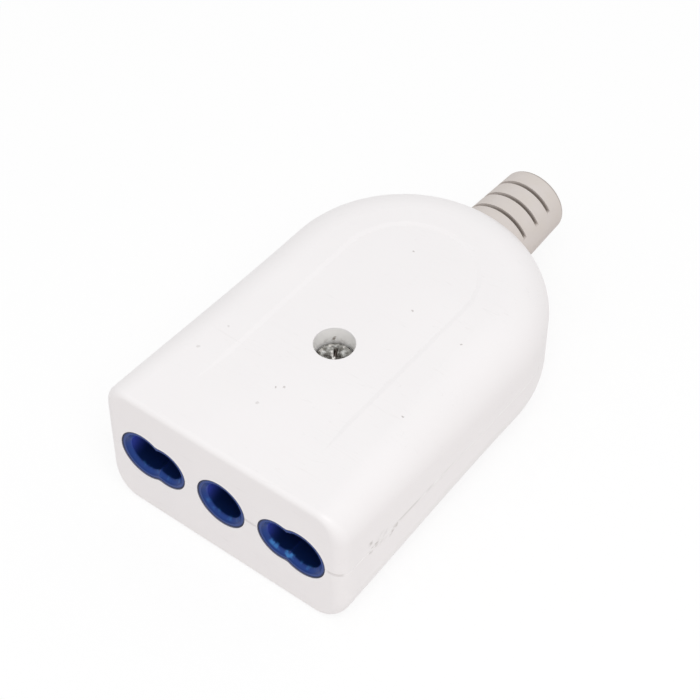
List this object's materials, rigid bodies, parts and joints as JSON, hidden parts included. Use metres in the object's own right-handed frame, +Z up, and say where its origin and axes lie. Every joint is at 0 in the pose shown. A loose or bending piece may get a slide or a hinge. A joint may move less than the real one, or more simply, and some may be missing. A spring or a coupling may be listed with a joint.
{
  "type": "in-line mains socket",
  "caption": "White two-shell in-line mains socket with an arched rear, blue-lined pin ways in its flat front, a screw in a well and a slotted grey cord sleeve.",
  "frame": {"origin": "middle of the footprint on the surface it lies on", "axes": "+Z up through the screw well, +Y along the cord sleeve away from the pin ways, X across the row of ways"},
  "size_m": [0.0394, 0.0716, 0.0207],
  "materials": {
    "housing": "smooth warm white moulding",
    "insert": "deep blue moulding",
    "sleeve": "light warm grey, matt",
    "clamp": "plain moulding",
    "contact": "bright sheet",
    "screw": "bright plated"
  },
  "bodies": {
    "root": {"upper_shell": "housing", "lower_shell": "housing", "socket_insert": "insert", "line_contact": "contact", "neutral_contact": "contact", "earth_contact": "contact", "line_wire_clamp": "screw", "neutral_wire_clamp": "screw", "earth_wire_clamp": "screw", "line_terminal_screw": "screw", "neutral_terminal_screw": "screw", "earth_terminal_screw": "screw", "cord_clamp": "clamp", "left_clamp_screw": "screw", "right_clamp_screw": "screw", "cord_sleeve": "sleeve", "case_screw": "screw", "case_nut": "screw"}
  },
  "joints": []
}
